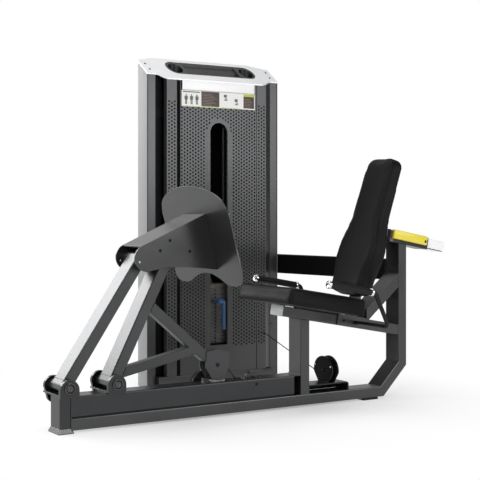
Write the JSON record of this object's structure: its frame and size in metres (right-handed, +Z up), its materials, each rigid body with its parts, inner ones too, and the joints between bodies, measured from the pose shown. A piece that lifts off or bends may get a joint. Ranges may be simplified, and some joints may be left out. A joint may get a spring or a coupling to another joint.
{
  "type": "seated leg press machine",
  "caption": "Seated leg press with a four-bar press linkage, pulleys and cables, a sliding padded seat, and a pin-selected weight stack in a guarded tower.",
  "frame": {"origin": "centre of the front foot's underside, on the floor", "axes": "+X along the base towards the user's back, +Y towards the weight tower, +Z up"},
  "size_m": [2.0795, 1.275, 1.7052],
  "materials": {
    "cable_jacket": "black coated steel cable",
    "chrome": "polished",
    "foot_rubber": "black, matte",
    "frame_paint": "dark grey metallic powder coat, semi gloss",
    "grip_rubber": "black sleeve, matte",
    "guard_paint": "black fine texture powder coat",
    "knob_plastic": "blue moulded handle on a steel pin",
    "lever_yellow": "yellow moulded",
    "pad_vinyl": "black upholstery vinyl, satin",
    "pin_steel": "turned steel",
    "plate_steel": "machined weight plate, light grey",
    "pulley_nylon": "dark glass filled nylon",
    "silver_paint": "light silver powder coat, semi gloss",
    "stop_nylon": "light grey nylon",
    "tray_plastic": "black moulded, satin"
  },
  "bodies": {
    "frame": {"front_end_tube": "frame_paint", "front_foot": "foot_rubber", "front_guard": "guard_paint", "front_pivot_bracket": "frame_paint", "front_pivot_pin": "pin_steel", "guard_strip_left": "guard_paint", "guard_strip_right": "guard_paint", "guide_rod_left": "chrome", "guide_rod_right": "chrome", "guide_sleeve": "frame_paint", "head_beam": "guard_paint", "hoist_cable": "cable_jacket", "idler_bracket": "frame_paint", "lever_stop": "stop_nylon", "lower_frame": "frame_paint", "press_cable": "cable_jacket", "rail_end_cap": "silver_paint", "rear_brace": "frame_paint", "rear_foot_pad": "foot_rubber", "rear_guard": "guard_paint", "rear_pivot_bracket": "frame_paint", "rear_pivot_pin": "pin_steel", "resting_plates": "plate_steel", "seat_post": "frame_paint", "seat_rail": "frame_paint", "stack_buffer": "foot_rubber", "top_cover": "silver_paint", "top_tray": "tray_plastic", "tower_base": "guard_paint", "tower_cable": "cable_jacket", "tower_column_left": "silver_paint", "tower_column_right": "silver_paint", "tower_link": "frame_paint", "upper_beam": "frame_paint"},
    "front_arm": {"front_arm": "frame_paint"},
    "rear_arm": {"rear_arm": "frame_paint", "lever_frame": "frame_paint"},
    "foot_carriage": {"foot_carrier": "frame_paint", "foot_plate": "frame_paint", "carrier_rear_pin": "pin_steel"},
    "lifted_stack": {"head_plate": "plate_steel", "lifted_plates": "plate_steel"},
    "selector": {"selector_pin": "knob_plastic"},
    "seat_unit": {"seat_carriage": "frame_paint", "seat_board": "tray_plastic", "seat_pad": "pad_vinyl", "back_pad": "pad_vinyl", "handle_left": "chrome", "handle_right": "chrome", "grip_left": "grip_rubber", "grip_right": "grip_rubber", "guide_bar": "silver_paint"},
    "paddle": {"adjuster_paddle": "lever_yellow"},
    "lever_wheel": {"lever_pulley": "pulley_nylon"},
    "beam_wheel": {"beam_pulley": "pulley_nylon"},
    "transfer_wheel": {"transfer_pulley": "pulley_nylon"},
    "head_wheel_left": {"head_pulley_left": "pulley_nylon"},
    "head_wheel_right": {"head_pulley_right": "pulley_nylon"},
    "exit_wheel": {"exit_pulley": "pulley_nylon"},
    "idler_wheel": {"idler_pulley": "pulley_nylon"}
  },
  "joints": [
    {"name": "press_swing", "type": "hinge", "parent": "frame", "child": "front_arm", "pos_m": [0.015, 0, 0.183], "axis": [0, -1, 0], "range_deg": [0, 34]},
    {"name": "rear_arm_swing", "type": "hinge", "parent": "frame", "child": "rear_arm", "pos_m": [0.229, 0, 0.183], "axis": [0, -1, 0], "range_deg": [0, 36], "deforming": ["press_cable"]},
    {"name": "carriage_tilt", "type": "hinge", "parent": "front_arm", "child": "foot_carriage", "pos_m": [0.363, 0, 0.703], "axis": [0, -1, 0], "range_deg": [-56, 0]},
    {"name": "stack_lift", "type": "slide", "parent": "frame", "child": "lifted_stack", "axis": [0, 0, 1], "range_m": [0, 0.545], "deforming": ["hoist_cable"]},
    {"name": "selector_pull", "type": "slide", "parent": "lifted_stack", "child": "selector", "axis": [0, -1, 0], "range_m": [0, 0.07]},
    {"name": "seat_slide", "type": "slide", "parent": "frame", "child": "seat_unit", "axis": [-0.9839, 0, 0.1789], "range_m": [0, 0.18]},
    {"name": "paddle_lift", "type": "hinge", "parent": "frame", "child": "paddle", "pos_m": [1.8975, 0, 0.75184], "axis": [0, 1, 0], "range_deg": [0, 20]},
    {"name": "lever_spin", "type": "hinge", "parent": "rear_arm", "child": "lever_wheel", "pos_m": [0.731, 0.009, 0.225], "axis": [0, 1, 0], "range_deg": [-390, 0]},
    {"name": "beam_spin", "type": "hinge", "parent": "frame", "child": "beam_wheel", "pos_m": [0.917, 0.009, 0.128], "axis": [0, 1, 0], "range_deg": [0, 768]},
    {"name": "transfer_spin", "type": "hinge", "parent": "frame", "child": "transfer_wheel", "pos_m": [0.735, 0.085, 0.112], "axis": [0, 1, 0], "range_deg": [0, 394]},
    {"name": "head_spin_left", "type": "hinge", "parent": "frame", "child": "head_wheel_left", "pos_m": [1.2708, 0.875, 1.48], "axis": [0, 1, 0], "range_deg": [0, 684]},
    {"name": "head_spin_right", "type": "hinge", "parent": "frame", "child": "head_wheel_right", "pos_m": [1.4838, 0.875, 1.48], "axis": [0, 1, 0], "range_deg": [0, 684]},
    {"name": "exit_spin", "type": "hinge", "parent": "frame", "child": "exit_wheel", "pos_m": [1.52439, 0.84585, 0.2865], "axis": [0.9781, -0.2081, 0], "range_deg": [-1073, 0]},
    {"name": "idler_spin", "type": "hinge", "parent": "frame", "child": "idler_wheel", "pos_m": [1.346, 0.0075, 0.155], "axis": [1, 0, 0], "range_deg": [-870, 0]}
  ],
  "couplings": [
    {"joint": "rear_arm_swing", "follows": "press_swing", "ratio": 1.0306},
    {"joint": "carriage_tilt", "follows": "press_swing", "ratio": -1.6118},
    {"joint": "stack_lift", "follows": "press_swing", "m_per_rad": 0.91},
    {"joint": "lever_spin", "follows": "press_swing", "ratio": -11},
    {"joint": "beam_spin", "follows": "press_swing", "ratio": 21.8},
    {"joint": "transfer_spin", "follows": "press_swing", "ratio": 11.1},
    {"joint": "head_spin_left", "follows": "press_swing", "ratio": 19.4},
    {"joint": "head_spin_right", "follows": "press_swing", "ratio": 19.4},
    {"joint": "exit_spin", "follows": "press_swing", "ratio": -30.5},
    {"joint": "idler_spin", "follows": "press_swing", "ratio": -24.7}
  ]
}
